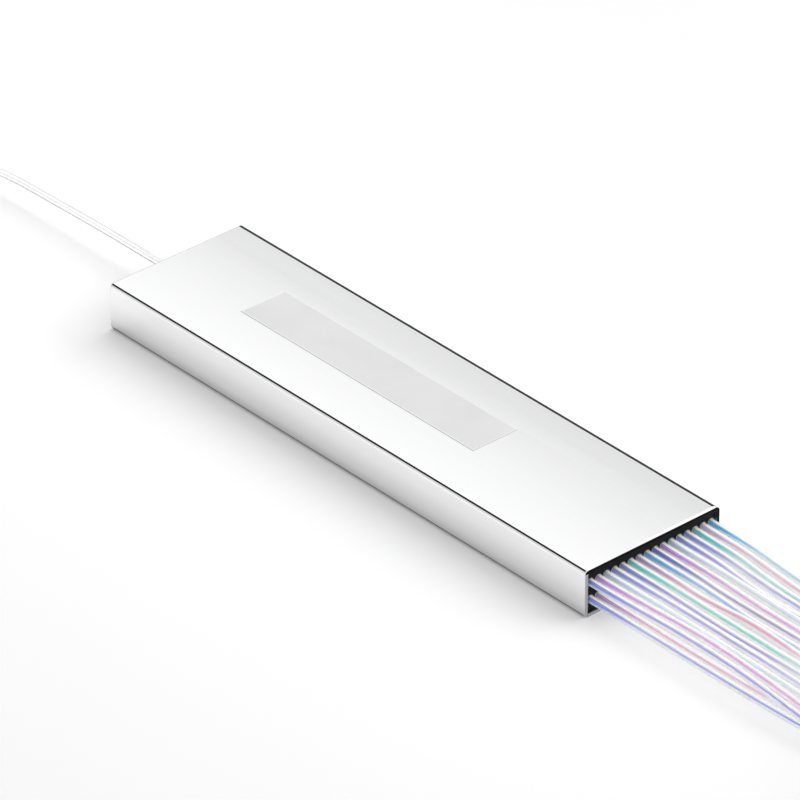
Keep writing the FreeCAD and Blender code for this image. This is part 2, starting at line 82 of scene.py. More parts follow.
class Graph:
    """The nodes of one material or world, with short ways to add those that this script uses."""

    def __init__(self, tree):
        self.nodes = tree.nodes
        self.links = tree.links

    def link(self, output, target):
        self.links.new(output, target)

    def noise(self, scale, detail=3.0, stretch=(1, 1, 1)):
        """Noise in the row frame, stretched by a factor for each axis."""
        place = self.nodes.new("ShaderNodeNewGeometry")
        mapping = self.nodes.new("ShaderNodeMapping")
        mapping.inputs["Scale"].default_value = stretch
        self.link(place.outputs["Position"], mapping.inputs["Vector"])
        noise = self.nodes.new("ShaderNodeTexNoise")
        noise.inputs["Scale"].default_value = scale
        noise.inputs["Detail"].default_value = detail
        self.link(mapping.outputs["Vector"], noise.inputs["Vector"])
        return noise.outputs["Fac"]

    def ramp(self, fac, low, high, start=0.3, end=0.7):
        ramp = self.nodes.new("ShaderNodeValToRGB")
        ramp.color_ramp.elements[0].position = start
        ramp.color_ramp.elements[0].color = (*low, 1)
        ramp.color_ramp.elements[1].position = end
        ramp.color_ramp.elements[1].color = (*high, 1)
        self.link(fac, ramp.inputs["Fac"])
        return ramp.outputs["Color"]

    def remap(self, value, low, high, start=0.0, end=1.0, smooth=False):
        """From low at start to high at end, and level beyond them."""
        scale = self.nodes.new("ShaderNodeMapRange")
        if smooth:
            scale.interpolation_type = "SMOOTHSTEP"
        scale.inputs["From Min"].default_value = start
        scale.inputs["From Max"].default_value = end
        scale.inputs["To Min"].default_value = low
        scale.inputs["To Max"].default_value = high
        self.link(value, scale.inputs["Value"])
        return scale.outputs["Result"]

    def calc(self, operation, *values):
        """A Math node; each value is a socket or a number."""
        node = self.nodes.new("ShaderNodeMath")
        node.operation = operation
        for slot, value in zip(node.inputs, values):
            if isinstance(value, (int, float)):
                slot.default_value = value
            else:
                self.link(value, slot)
        return node.outputs["Value"]

    def axes(self):
        """Sockets for the place along X, Y and Z, in millimetres."""
        place = self.nodes.new("ShaderNodeNewGeometry")
        scale = self.nodes.new("ShaderNodeVectorMath")
        scale.operation = "SCALE"
        scale.inputs["Scale"].default_value = 1 / MM
        self.link(place.outputs["Position"], scale.inputs[0])
        split = self.nodes.new("ShaderNodeSeparateXYZ")
        self.link(scale.outputs["Vector"], split.inputs["Vector"])
        return split.outputs["X"], split.outputs["Y"], split.outputs["Z"]

    def upward(self):
        """How far the outside of a wall faces up, from -1 to 1, and 0 on its inside."""
        geometry = self.nodes.new("ShaderNodeNewGeometry")
        split = self.nodes.new("ShaderNodeSeparateXYZ")
        self.link(geometry.outputs["Normal"], split.inputs["Vector"])
        outside = self.remap(geometry.outputs["Backfacing"], 1.0, 0.0)
        return self.calc("MULTIPLY", split.outputs["Z"], outside)

    def above(self, value, limit, soft=0.02):
        """1 where a value is over a limit and 0 under it, with a soft step."""
        return self.remap(value, 0.0, 1.0, limit - soft, limit + soft, smooth=True)

    def below(self, value, limit, soft=0.02):
        return self.remap(value, 1.0, 0.0, limit - soft, limit + soft, smooth=True)

    def all_of(self, *masks):
        result = masks[0]
        for mask in masks[1:]:
            result = self.calc("MULTIPLY", result, mask)
        return result

    def any_of(self, *masks):
        result = masks[0]
        for mask in masks[1:]:
            result = self.calc("MAXIMUM", result, mask)
        return result

    def blend(self, fac, first, second):
        """A colour that goes from the first to the second; each is a socket or three numbers."""
        blend = self.nodes.new("ShaderNodeMix")
        blend.data_type = "RGBA"
        self.link(fac, blend.inputs[0])
        for slot, colour in zip((blend.inputs[6], blend.inputs[7]), (first, second)):
            if isinstance(colour, tuple):
                slot.default_value = (*colour, 1)
            else:
                self.link(colour, slot)
        return blend.outputs[2]

    def bump(self, shader, height, distance, strength):
        bump = self.nodes.new("ShaderNodeBump")
        bump.inputs["Strength"].default_value = strength
        bump.inputs["Distance"].default_value = distance
        self.link(height, bump.inputs["Height"])
        self.link(bump.outputs["Normal"], shader.inputs["Normal"])


def new_material(name):
    material = bpy.data.materials.new(name)
    material.use_nodes = True
    graph = Graph(material.node_tree)
    return material, graph, graph.nodes["Principled BSDF"]


# How far the gloss of a plain finish strays from its mean, as a share of it.
GLOSS_SPREAD = 0.2
SPECK_BUMP = dict(distance=0.00002, strength=0.3)
# The plain finishes: low colour, high colour, roughness, scale of the noise, and how clear.
PLAIN = {
    "strap_white": ((0.80, 0.80, 0.79), (0.90, 0.90, 0.89), 0.5, 1500.0, 0.0),
    "adhesive": ((0.30, 0.31, 0.35), (0.44, 0.45, 0.50), 0.25, 2500.0, 0.0),
    "silicone_bed": ((0.72, 0.73, 0.75), (0.80, 0.81, 0.83), 0.4, 900.0, 0.0),
    "array_glass": ((0.80, 0.86, 0.88), (0.90, 0.94, 0.95), 0.12, 600.0, 0.6),
    "chip_silica": ((0.62, 0.67, 0.74), (0.75, 0.79, 0.85), 0.10, 500.0, 0.3),
}


def plain_material(name):
    """A plain finish with mottled colour, uneven gloss and a fine bump."""
    low, high, roughness, scale, transmission = PLAIN[name]
    material, graph, shader = new_material(name)
    fac = graph.noise(scale)
    graph.link(graph.ramp(fac, low, high), shader.inputs["Base Color"])
    uneven = graph.remap(fac, roughness * (1 - GLOSS_SPREAD), roughness * (1 + GLOSS_SPREAD))
    graph.link(uneven, shader.inputs["Roughness"])
    shader.inputs["Transmission Weight"].default_value = transmission
    graph.bump(shader, fac, **SPECK_BUMP)
    return material


# ---------------------------------------------------------------- materials of the housing

FINE_BRUSH = 3100.0
BROAD_BRUSH = 1100.0
BRUSH_STRETCH = (0.012, 1.0, 1.0)
BRUSH_BUMP = dict(distance=0.000002, strength=0.06)
SATIN_ROUGHNESS = (0.27, 0.34)
SAWN_ROUGHNESS = 0.6
METAL_LOW = (0.825, 0.827, 0.83)
METAL_HIGH = (0.855, 0.857, 0.86)
WALL_PAINTED_LIGHT = (0.94, 0.94, 0.945)
WALL_PAINTED_SHADE = (0.60, 0.60, 0.61)
RIM_GREY = (0.46, 0.46, 0.47)
REAR_GREY = (0.35, 0.35, 0.36)
PAINTED_EDGE_HIGHLIGHT = (0.97, 0.97, 0.975)
PAINTED_LINE_DARK = (0.012, 0.012, 0.013)
CUT_DARK = (0.008, 0.008, 0.009)

# The bands of the housing's finish and of its painted light and shade, in millimetres: heights over
# the floor, and depths in from the top, the long sides and the ends.
WALL_DEPTH = 0.06
PAINTED_LIGHT_HEIGHTS = (1.5, 4.0)
FOOT_SHADE_HEIGHTS = (0.2, 1.5)
BEND_DEPTHS = (0.022, 0.13)
BEND_WIDTH = 0.35
CREST_DEPTH = 0.18
CREST_WIDTH = 0.67
FOOT_LINE_HEIGHT = 0.36
FOOT_LINE_WIDTH = 0.5
LINES_END = 0.25
LINES_REAR_END = 0.02
CUT_LENGTH = 0.06
CUT_DEPTH = 0.42
CUT_WIDTH = 0.5
REAR_LENGTH = 0.05
REAR_DEPTH = 0.3
SAWN_LENGTH = 0.03
RIM_DEPTH = 0.5
HIGHLIGHT_LENGTHS = (0.05, 0.45)
HIGHLIGHT_DEPTH = 0.02
HIGHLIGHT_FADE = 5.0
# How much of the painted shade the near wall's foot has, and how far the sawn ends and the painted
# highlight on the top face's edge leave the metal's shine.
FOOT_SHADE_SHARE = 0.9
SAWN_DULL = 0.75
HIGHLIGHT_DULL = 0.8


def housing_material():
    """Satin aluminium brushed along its length, with dark cut ends, dark lines of painted reflection in
    its long bends, painted light and shade on its near wall and a painted highlight on one edge.
    """
    material, graph, shader = new_material("satin_aluminium")
    half_length, half_width, top = (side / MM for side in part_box("housing")[1])
    x, y, z = graph.axes()
    across = graph.calc("ABSOLUTE", y)
    fine = graph.noise(FINE_BRUSH, 2.0, BRUSH_STRETCH)
    broad = graph.noise(BROAD_BRUSH, 2.0, BRUSH_STRETCH)
    streaks = graph.calc("MULTIPLY_ADD", fine, 0.5, graph.calc("MULTIPLY", broad, 0.5))
    metal = graph.ramp(streaks, METAL_LOW, METAL_HIGH, 0.25, 0.75)

    # The near wall has a painted reflection, brighter towards its top, and painted shade along its foot.
    wall = graph.below(y, -half_width + WALL_DEPTH, 0.03)
    wall_painted_light = graph.all_of(wall, graph.remap(z, 0.0, 1.0, *PAINTED_LIGHT_HEIGHTS))
    foot_shade = graph.all_of(wall, graph.remap(z, FOOT_SHADE_SHARE, 0.0, *FOOT_SHADE_HEIGHTS))
    colour = graph.blend(wall_painted_light, metal, WALL_PAINTED_LIGHT)
    colour = graph.blend(foot_shade, colour, WALL_PAINTED_SHADE)

    # Both top bends have a thin dark line of painted reflection, which on the far side reaches over the
    # bend's crest, and the near wall's foot has another of painted shade. They stop just short of the
    # ends.
    bend_reflection = graph.all_of(graph.above(z, top - BEND_DEPTHS[1]), graph.below(z, top - BEND_DEPTHS[0], 0.01),
                        graph.above(across, half_width - BEND_WIDTH))
    crest_reflection = graph.all_of(graph.above(z, top - CREST_DEPTH), graph.above(y, half_width - CREST_WIDTH))
    foot_shade_line = graph.all_of(graph.below(z, FOOT_LINE_HEIGHT, 0.05), graph.below(y, -half_width + FOOT_LINE_WIDTH))
    painted_lines = graph.all_of(graph.any_of(bend_reflection, crest_reflection, foot_shade_line), graph.below(x, half_length - LINES_END, 0.1),
                         graph.above(x, -half_length + LINES_REAR_END, 0.02))
    colour = graph.blend(painted_lines, colour, PAINTED_LINE_DARK)

    # The output end's rim is cut dark over the fibres and on the far wall, and bare elsewhere. The
    # input end's is grey along its top.
    cut_face = graph.any_of(graph.above(z, top - CUT_DEPTH, 0.05),
                            graph.above(y, half_width - CUT_WIDTH, 0.1))
    cut = graph.all_of(graph.above(x, half_length - CUT_LENGTH), cut_face)
    colour = graph.blend(cut, colour, CUT_DARK)
    rear = graph.all_of(graph.below(x, -half_length + REAR_LENGTH), graph.above(z, top - REAR_DEPTH, 0.1))
    colour = graph.blend(rear, colour, REAR_GREY)

    # The top face's edge over the fibres has a painted white highlight on its far half.
    edge_highlight = graph.all_of(graph.above(x, half_length - HIGHLIGHT_LENGTHS[1], 0.1),
                        graph.above(z, top - HIGHLIGHT_DEPTH), graph.above(y, 0.0, HIGHLIGHT_FADE),
                        graph.below(x, half_length - HIGHLIGHT_LENGTHS[0]))
    colour = graph.blend(edge_highlight, colour, PAINTED_EDGE_HIGHLIGHT)
    end = graph.above(x, half_length - SAWN_LENGTH)
    rim = graph.all_of(end, graph.below(z, top - RIM_DEPTH))
    colour = graph.blend(graph.calc("SUBTRACT", rim, cut), colour, RIM_GREY)
    graph.link(colour, shader.inputs["Base Color"])

    # The sawn ends are rougher and duller than the faces, and the painted highlight is duller too, so
    # that it shows white.
    sawn = graph.any_of(end, graph.below(x, -half_length + SAWN_LENGTH))
    sawn_light = graph.calc("SUBTRACT", sawn, cut)
    dull = graph.any_of(graph.calc("MULTIPLY", sawn_light, SAWN_DULL),
                        graph.calc("MULTIPLY", edge_highlight, HIGHLIGHT_DULL))
    graph.link(graph.calc("MULTIPLY_ADD", dull, -1.0, 1.0), shader.inputs["Metallic"])
    satin = graph.remap(streaks, *SATIN_ROUGHNESS, 0.3, 0.7)
    rough = graph.calc("MAXIMUM", satin, graph.remap(sawn, 0.0, SAWN_ROUGHNESS))
    graph.link(rough, shader.inputs["Roughness"])
    graph.bump(shader, streaks, **BRUSH_BUMP)
    return material


FILM_LOW = (0.645, 0.645, 0.65)
FILM_HIGH = (0.685, 0.685, 0.69)
FILM_EDGE = (0.80, 0.80, 0.805)
FILM_CLOUD = 160.0
FILM_GRAIN = 5000.0
FILM_ROUGHNESS = (0.38, 0.5)
FILM_BUMP = dict(distance=0.000006, strength=0.2)
# How wide the film's pale edge is at its input end and along its other sides, in millimetres.
FILM_END_WIDTH = 0.25
FILM_EDGE_WIDTH = 0.12


def label_material():
    """Thin grey film, a little cloudy, with a paler cut edge."""
    material, graph, shader = new_material("label_film_grey")
    low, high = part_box("label_film")
    x, y = graph.axes()[:2]
    cloud = graph.noise(FILM_CLOUD, 4.0)
    film = graph.ramp(cloud, FILM_LOW, FILM_HIGH)
    border = graph.any_of(graph.below(x, low[0] / MM + FILM_END_WIDTH, 0.08),
                          graph.above(x, high[0] / MM - FILM_EDGE_WIDTH, 0.05),
                          graph.below(y, low[1] / MM + FILM_EDGE_WIDTH, 0.05),
                          graph.above(y, high[1] / MM - FILM_EDGE_WIDTH, 0.05))
    graph.link(graph.blend(border, film, FILM_EDGE), shader.inputs["Base Color"])
    graph.link(graph.remap(cloud, *FILM_ROUGHNESS), shader.inputs["Roughness"])
    grain = graph.noise(FILM_GRAIN, 2.0)
    graph.bump(shader, grain, **FILM_BUMP)
    return material


BLOCK_LOW = (0.005, 0.005, 0.006)
BLOCK_HIGH = (0.013, 0.013, 0.014)
BLOCK_GRAIN = 2600.0
BLOCK_ROUGHNESS = (0.42, 0.62)
BLOCK_SPECULAR = 0.12
BLOCK_BUMP = dict(distance=0.00004, strength=0.35)


def block_material():
    """Moulded black block: matt, faintly pebbled."""
    material, graph, shader = new_material("black_moulding")
    grain = graph.noise(BLOCK_GRAIN)
    graph.link(graph.ramp(grain, BLOCK_LOW, BLOCK_HIGH), shader.inputs["Base Color"])
    graph.link(graph.remap(grain, *BLOCK_ROUGHNESS), shader.inputs["Roughness"])
    shader.inputs["Specular IOR Level"].default_value = BLOCK_SPECULAR
    graph.bump(shader, grain, **BLOCK_BUMP)
    return material


# ---------------------------------------------------------------- materials of the cords

# How far from the middle, in millimetres, the tint by the block begins to fade, and where it ends.
DEEP_UNTIL = 42.5
PALE_FROM = 48.0
# The wound sleeves, between these places along X and beyond them, are painted greyer than the straight
# ones, as shade where they lie packed together.
WOUND_FROM = 82.0
WOUND_UNTIL = 100.0
WOUND_SHADE_LEVEL = 0.82
# The haze in the sleeves: the scale of its noise, and how dark it gets.
HAZE = 700.0
HAZE_LEVEL = 0.96
SLEEVE_ROUGHNESS = (0.12, 0.22)
SLEEVE_IOR = 1.45
RIDGE_PAINTED_HIGHLIGHT = (0.98, 0.98, 0.99)
# How far up a wall has to face to be on the painted white highlight along the ridge, and down to be on
# the painted shade of the underside.
RIDGE_HIGHLIGHT_TURN = (0.86, 0.96)
UNDER_SHADE_TURN = (-0.75, 0.0)
SLEEVE_WHITE = (0.975, 0.98, 1.0)
# How much of a fibre's colour its sleeve takes on, near the block and further out.
NEAR_TINT = 0.52
FAR_TINT = 0.11
# Painted shade: the input sleeve's grey, which shows as a darker outline at its edges.
INPUT_OUTLINE_SHADE = (0.60, 0.605, 0.61)
# How solid a sleeve is at its middle and its edges, at which turns away from the eye it goes from one
# to the other near the block and further out, how pale the painted shade on its underside is and how
# solid that underside is, and how far light spreads in it.
OUTPUT_SLEEVE = dict(middle=0.02, edge=0.92, near_turn=(0.12, 0.5), far_turn=(0.07, 0.45),
                     under_shade=0.94, under_shade_solid=0.0, spread=1.0)
INPUT_SLEEVE = dict(middle=0.03, edge=0.9, near_turn=(0.36, 0.75), far_turn=(0.36, 0.75),
                    under_shade=0.06, under_shade_solid=0.85, spread=0.0)


# The unevenness along a fibre: the scale of its noise, where it turns, and how much deeper and paler
# than its own colours the coating gets.
COATING_NOISE = 260.0
COATING_TURN = (0.35, 0.7)
COATING_DEEPER = 0.88
COATING_PALER = 1.08
COATING_ROUGHNESS = (0.28, 0.4)


def tinted(colour, share):
    """A share of a colour mixed into the sleeves' own white."""
    return tuple(white * (1 - share) + channel * share for white, channel in zip(SLEEVE_WHITE, colour))


def scaled(colour, level):
    return tuple(min(1.0, level * channel) for channel in colour)


def distance_out(graph, x):
    """0 near the blocks and 1 further out."""
    return graph.remap(graph.calc("ABSOLUTE", x), 0.0, 1.0, DEEP_UNTIL, PALE_FROM)


def sleeve_material(name, near_colour, far_colour, middle, edge, near_turn, far_turn, under_shade, under_shade_solid,
                    spread):
    """Clear loose tube: see-through at its middle, milky at its edges, tinted near the block with a
    painted white highlight along its top there, and with painted shade on its underside."""
    material, graph, shader = new_material(name)
    haze = graph.noise(HAZE)
    x = graph.axes()[0]
    out = distance_out(graph, x)
    upward = graph.upward()
    ridge_highlight = graph.remap(upward, 0.0, 1.0, *RIDGE_HIGHLIGHT_TURN, smooth=True)
    underside_shade = graph.remap(upward, 1.0, 0.0, *UNDER_SHADE_TURN)
    wound = graph.remap(x, 0.0, 1.0, WOUND_FROM, WOUND_UNTIL)

    near_end = graph.ramp(haze, scaled(near_colour, HAZE_LEVEL), near_colour)
    # Painted white highlight along the top, near the block.
    near_end = graph.blend(ridge_highlight, near_end, RIDGE_PAINTED_HIGHLIGHT)
    far_end = graph.ramp(haze, scaled(far_colour, HAZE_LEVEL), far_colour)
    body = graph.blend(out, near_end, far_end)
    # Painted shade on the wound sleeves.
    body = graph.blend(wound, body, scaled(far_colour, WOUND_SHADE_LEVEL))
    # Painted shade on the underside.
    body = graph.blend(underside_shade, body, scaled(far_colour, under_shade))
    graph.link(body, shader.inputs["Base Color"])
    graph.link(graph.remap(haze, *SLEEVE_ROUGHNESS), shader.inputs["Roughness"])
    shader.inputs["IOR"].default_value = SLEEVE_IOR
    shader.inputs["Sheen Weight"].default_value = 1.0
    shader.inputs["Subsurface Weight"].default_value = spread
    shader.inputs["Subsurface Radius"].default_value = (1.0, 1.0, 1.0)
    shader.inputs["Subsurface Scale"].default_value = 1.0 * MM

    turn = graph.nodes.new("ShaderNodeLayerWeight")
    turn.inputs["Blend"].default_value = 0.5
    facing = turn.outputs["Facing"]
    near_exit = graph.any_of(graph.remap(facing, middle, edge, *near_turn, smooth=True),
                             graph.remap(ridge_highlight, 0.0, edge))
    further_out = graph.remap(facing, middle, edge, *far_turn, smooth=True)
    gain = graph.calc("MULTIPLY", out, graph.calc("SUBTRACT", further_out, near_exit))
    solid = graph.any_of(graph.calc("ADD", near_exit, gain), graph.remap(underside_shade, 0.0, under_shade_solid))
    graph.link(solid, shader.inputs["Alpha"])
    return material


def fibre_material(name, deep, pale):
    """Coloured coating of one fibre, deepest where it leaves the block, and uneven along its length."""
    material, graph, shader = new_material(name)
    x = graph.axes()[0]
    fac = graph.noise(COATING_NOISE)
    near_end = graph.ramp(fac, scaled(deep, COATING_DEEPER), deep, *COATING_TURN)
    far_end = graph.ramp(fac, pale, scaled(pale, COATING_PALER), *COATING_TURN)
    graph.link(graph.blend(distance_out(graph, x), near_end, far_end), shader.inputs["Base Color"])
    graph.link(graph.remap(fac, *COATING_ROUGHNESS), shader.inputs["Roughness"])
    return material


# ---------------------------------------------------------------- cords

TUBE = 0.9 * MM
FIBRE = 0.18 * MM
FIBRE_FLARE = 4.7
COLUMNS = 16
COLUMN_PITCH = 1.2 * MM
LOWER_ROW = 2.0 * MM
ROW_GAP = 2.2 * MM
WOUND_PITCH = 0.95 * MM
LAYER_PITCH = 0.885 * WOUND_PITCH
HANK_TURNS = 6

# A point near the exit, six diameters from the block, keeps the tubes straight where they leave it.
NEAR_EXIT = 45.1 * MM
# Two stations of the ribbon of output tubes, as in the part's source: place along X, near tube's Y and
# Z in millimetres, lean in degrees, pitch, gap between the rows, and the rows' stagger in pitches.
STATIONS = [
    (67.0, -9.00, 3.00, 2.0, 1.130, 1.95, 0.10),
    (79.0, -9.12, 2.60, 47.0, 1.090, 1.72, 0.12),
]
# How far each tube sways along the first station, in millimetres, near column first.
SWAY = [0.0, 0.07, -0.05, 0.04, 0.09, -0.04, 0.03, -0.06,
        0.05, 0.08, -0.05, 0.02, 0.07, -0.03, -0.06, 0.04]
# The place along X from which the ribbon stands on edge, as it is wound.
ON_EDGE = 91.0 * MM
# How far the tubes stray from their columns where the photograph shows them part, in millimetres:
# for each row, near column first, the shift along Y and up at two places on the way to the first
# station.
STRAY_AT = (50.0, 58.0)
STRAY = [
    [(0.00, 0.00, -0.05, 0.05), (0.10, -0.15, 0.15, -0.30), (-0.05, 0.10, 0.10, 0.05),
     (0.10, 0.15, -0.05, -0.20), (-0.05, -0.10, 0.05, 0.15), (0.05, -0.05, -0.25, -0.20),
     (-0.20, 0.05, -0.30, 0.10), (-0.15, -0.10, -0.35, -0.10), (-0.25, 0.10, -0.50, 0.05),
     (-0.20, -0.10, -0.50, -0.15), (-0.35, 0.05, -0.65, 0.10), (-0.40, -0.05, -0.75, -0.10),
     (-0.40, 0.10, -0.75, 0.10), (-0.45, -0.10, -0.85, -0.15), (-0.40, 0.05, -0.85, 0.10),
     (-0.40, -0.05, -0.95, 0.00)],
    [(0.25, 0.05, 0.30, 0.10), (0.20, 0.10, 0.25, 0.30), (0.05, -0.05, -0.10, -0.10),
     (-0.10, 0.10, -0.10, 0.10), (-0.10, -0.10, -0.30, -0.15), (-0.30, 0.15, -0.35, 0.10),
     (-0.45, 0.00, -0.10, 0.50), (-0.20, 0.10, -0.60, -0.10), (-0.35, -0.10, -0.50, 0.00),
     (-0.05, -0.15, -0.45, -0.15), (-0.45, 0.40, -0.85, 0.45), (-0.65, -0.05, -1.25, -0.10),
     (-0.60, 0.10, -1.15, 0.15), (-0.60, -0.05, -1.35, -0.05), (-0.60, 0.10, -1.35, 0.10),
     (-0.45, 0.00, -1.20, 0.00)],
]

# Control points of the input tube's route: close to the part's own, and a little straighter and
# higher before the coil, as in the photograph.
INPUT_ROUTE = [
    (-43.8, 0.0, 3.4),
    (-53.0, 0.12, 3.3),
    (-62.2, 0.15, 3.05),
    (-74.6, 0.1, 2.75),
    (-79.6, -4.9, 1.8),
]
INPUT_IN_LINE = -85.8 * MM
COIL_TURNS = 4.25
BEND_POINTS = 8
POINTS_PER_TURN = 20
RISE_POINTS = 5
# The slack of the hank's turns, and how far past the last bend its ends lie, in millimetres.
HANK_LIFT = 0.03
HANK_SLACK = 0.05
HANK_END_FROM = 2.0
HANK_END_REACH = (5.0, 11.0)


def make_curve(name, points, diameter, sides, flare=1.0):
    """One open NURBS spline on a list of control points, as a round solid, flared at its start."""
    data = bpy.data.curves.new(name, "CURVE")
    data.dimensions = "3D"
    data.bevel_depth = diameter / 2
    data.bevel_resolution = sides
    data.resolution_u = 4
    data.use_fill_caps = True
    spline = data.splines.new("NURBS")
    spline.points.add(len(points) - 1)
    for target, point in zip(spline.points, points):
        target.co = (*point, 1.0)
    spline.points[0].radius = flare
    spline.order_u = 3
    spline.use_endpoint_u = True
    piece = bpy.data.objects.new(name, data)
    bpy.context.collection.objects.link(piece)
    return piece


def station_point(station, column, row, sway):
    """One tube's place in the ribbon at a station."""
    x, near_y, near_z, lean, pitch, gap, stagger = station
    angle = math.radians(lean)
    along = pitch * (column + stagger * (row - 0.5)) + sway
    off = gap * (row - 0.5)
    return Vector((x, near_y + along * math.cos(angle) - off * math.sin(angle),
                   near_z + along * math.sin(angle) + off * math.cos(angle))) * MM


def half_circle(centre_x, centre_y, radius, start, z):
    """Control points whose spline is a half circle, turning left from the start angle."""
    step = math.pi / BEND_POINTS
    reach = radius / math.cos(step / 2)
    points = []
    for index in range(BEND_POINTS):
        angle = start + (index + 0.5) * step
        points.append(Vector((centre_x + reach * math.cos(angle), centre_y + reach * math.sin(angle), z)))
    return points


def hank_points(column, row):
    """The turns of one tube in the hank: half circles and straights that close in turn by turn."""
    low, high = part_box("output_coil")
    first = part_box("output_tube_01")[1][0]
    outer = (high[1] - low[1]) / 2
    last = high[0] - outer
    centre_y = (high[1] + low[1]) / 2
    line = outer - TUBE / 2 - LAYER_PITCH / 2
    step = 2 * LAYER_PITCH
    z = low[2] + TUBE / 2 + WOUND_PITCH / 4 + WOUND_PITCH * (column + 0.5 * (row - 0.5))
    bend_reach = math.tan(math.pi / BEND_POINTS / 2)
    points = []
    for turn in range(HANK_TURNS):
        radius = line - turn * step + LAYER_PITCH * (row - 0.5)
        lift = rng.uniform(-HANK_LIFT, HANK_LIFT) * MM
        loose = radius + rng.uniform(-HANK_SLACK, 0.0) * MM
        if turn:
            points.append(Vector((first + loose * bend_reach, centre_y - loose, z)))
        points.append(Vector((last - loose * bend_reach, centre_y - loose, z)))
        points += half_circle(last, centre_y, loose, -math.pi / 2, z + lift)
        points.append(Vector((last - loose * bend_reach, centre_y + loose, z)))
        points.append(Vector((first + loose * bend_reach, centre_y + loose, z)))
        points += half_circle(first, centre_y + step / 2, loose - step / 2, math.pi / 2, z + lift)
    end_y = centre_y - (line - HANK_TURNS * step + LAYER_PITCH * (row - 0.5))
    for travel in (HANK_END_FROM, rng.uniform(*HANK_END_REACH)):
        points.append(Vector((first + travel * MM, end_y, z)))
    return points


def output_points(column, row):
    """Control points of one output tube, from its hole to its end in the hank."""
    start_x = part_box("output_tube_01")[0][0]
    y = (column - (COLUMNS - 1) / 2) * COLUMN_PITCH
    z = LOWER_ROW + row * ROW_GAP
    points = [Vector((start_x, y, z)), Vector((NEAR_EXIT, y, z))]
    first_y, first_z, second_y, second_z = STRAY[row][column]
    for place, aside, lift in zip(STRAY_AT, (first_y, second_y), (first_z, second_z)):
        points.append(Vector((place * MM, y + aside * MM, z + lift * MM)))
    for station, share in zip(STATIONS, (1.0, 0.0)):
        points.append(station_point(station, column, row, share * SWAY[column]))
    wound = hank_points(column, row)
    entry_y = wound[0][1]
    points.append(Vector((ON_EDGE, entry_y, wound[0][2])))
    points.append(Vector((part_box("output_tube_01")[1][0], entry_y, wound[0][2])))
    return points + wound


def input_points():
    """Control points of the input tube, from its hole to its end in the coil's last layer."""
    low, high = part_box("input_coil")
    centre_x = (low[0] + high[0]) / 2
    centre_y = (low[1] + high[1]) / 2
    outer = (high[0] - low[0]) / 2 - TUBE / 2
    bottom = low[2] + TUBE / 2
    layers = round((high[2] - low[2] - TUBE) / WOUND_PITCH) + 1
    inner = outer - COIL_TURNS * WOUND_PITCH
    start = Vector((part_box("input_tube")[1][0], 0.0, INPUT_ROUTE[0][2] * MM))
    points = [start] + [Vector(point) * MM for point in INPUT_ROUTE]
    points.append(Vector((INPUT_IN_LINE, centre_y - outer, bottom)))
    step = 2 * math.pi / POINTS_PER_TURN
    reach = 1 / math.cos(step / 2)
    across_points = round(COIL_TURNS * POINTS_PER_TURN)
    angle = -math.pi / 2 - step / 2
    for layer in range(layers):
        inward = layer % 2 == 0
        for index in range(across_points):
            share = index / across_points
            radius = outer + (inner - outer) * (share if inward else 1 - share)
            points.append(Vector((centre_x + radius * reach * math.cos(angle),
                                  centre_y + radius * reach * math.sin(angle),
                                  bottom + layer * WOUND_PITCH)))
            angle -= step
        if layer == layers - 1:
            break
        radius = inner if inward else outer
        for index in range(RISE_POINTS):
            share = (index + 0.5) / RISE_POINTS
            points.append(Vector((centre_x + radius * reach * math.cos(angle),
                                  centre_y + radius * reach * math.sin(angle),
                                  bottom + (layer + share) * WOUND_PITCH)))
            angle -= step
    return points


# Each fibre colour, near the block and further out.
COLOURS = {
    "periwinkle": ((0.24, 0.34, 0.86), (0.14, 0.22, 0.95)),
    "magenta": ((0.66, 0.34, 0.86), (0.90, 0.08, 0.76)),
    "frost": ((0.62, 0.78, 0.94), (0.62, 0.84, 0.95)),
    "violet": ((0.32, 0.36, 0.86), (0.22, 0.18, 0.84)),
    "slate": ((0.24, 0.28, 0.74), (0.14, 0.14, 0.66)),
    "green": ((0.16, 0.76, 0.64), (0.08, 0.74, 0.58)),
    "mauve": ((0.56, 0.34, 0.60), (0.94, 0.26, 0.46)),
    "azure": ((0.10, 0.46, 0.95), (0.07, 0.40, 0.95)),
    "navy": ((0.12, 0.18, 0.66), (0.05, 0.06, 0.36)),
    "indigo": ((0.30, 0.32, 0.86), (0.22, 0.18, 0.86)),
    "teal": ((0.12, 0.70, 0.70), (0.08, 0.74, 0.70)),
    "rose": ((0.78, 0.56, 0.84), (0.97, 0.34, 0.54)),
    "aqua": ((0.08, 0.54, 0.98), (0.03, 0.58, 0.95)),
}
CLEAR = (0.94, 0.95, 0.96)
# How wide each column's fibres show beside the usual one, near column first.
FIBRE_WIDTHS = [1.05, 0.95, 1.6, 0.9, 0.95, 1.45, 1.6, 1.25, 0.9, 1.0, 1.6, 1.45, 1.0, 1.2, 1.6, 1.0]
# The fibres' colours along each row, near column first.
UPPER_ROW_COLOURS = ["periwinkle", "magenta", "frost", "violet", "slate", "green", "mauve", "azure",
                     "navy", "magenta", "frost", "indigo", "indigo", "teal", "rose", "aqua"]
LOWER_ROW_COLOURS = ["periwinkle", "mauve", "rose", "teal", "frost", "indigo", "magenta", "azure",
                     "periwinkle", "slate", "rose", "green", "violet", "frost", "azure", "magenta"]
SLEEVE_SIDES = 4
INPUT_SLEEVE_SIDES = 6
FIBRE_SIDES = 1
INPUT_FIBRE_WIDTH = 0.6


